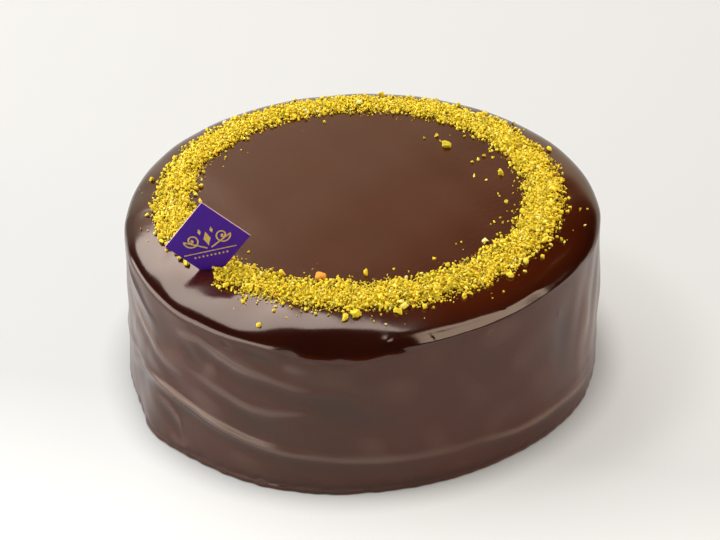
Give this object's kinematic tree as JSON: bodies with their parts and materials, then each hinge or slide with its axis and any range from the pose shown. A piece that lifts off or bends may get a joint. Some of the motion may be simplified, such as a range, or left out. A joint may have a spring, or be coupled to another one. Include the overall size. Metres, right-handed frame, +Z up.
{
  "type": "dubai chocolate cake",
  "caption": "Round whole cake under a smooth dark chocolate glaze, with a ring of chopped pistachio on top and a small plain card standing in the glaze.",
  "frame": {"origin": "on the table, at the middle of the cake's footprint", "axes": "+Z up out of the cake's top; the front, as pictured, faces -Y, with the card at the front left, at -X -Y"},
  "size_m": [0.2214, 0.2241, 0.1145],
  "materials": {
    "glaze": "glossy poured dark chocolate",
    "pistachio": "dry chopped nut",
    "card": "satin purple card with gold ornament"
  },
  "bodies": {
    "root": {"cake": "glaze", "card": "card"}
  },
  "joints": []
}
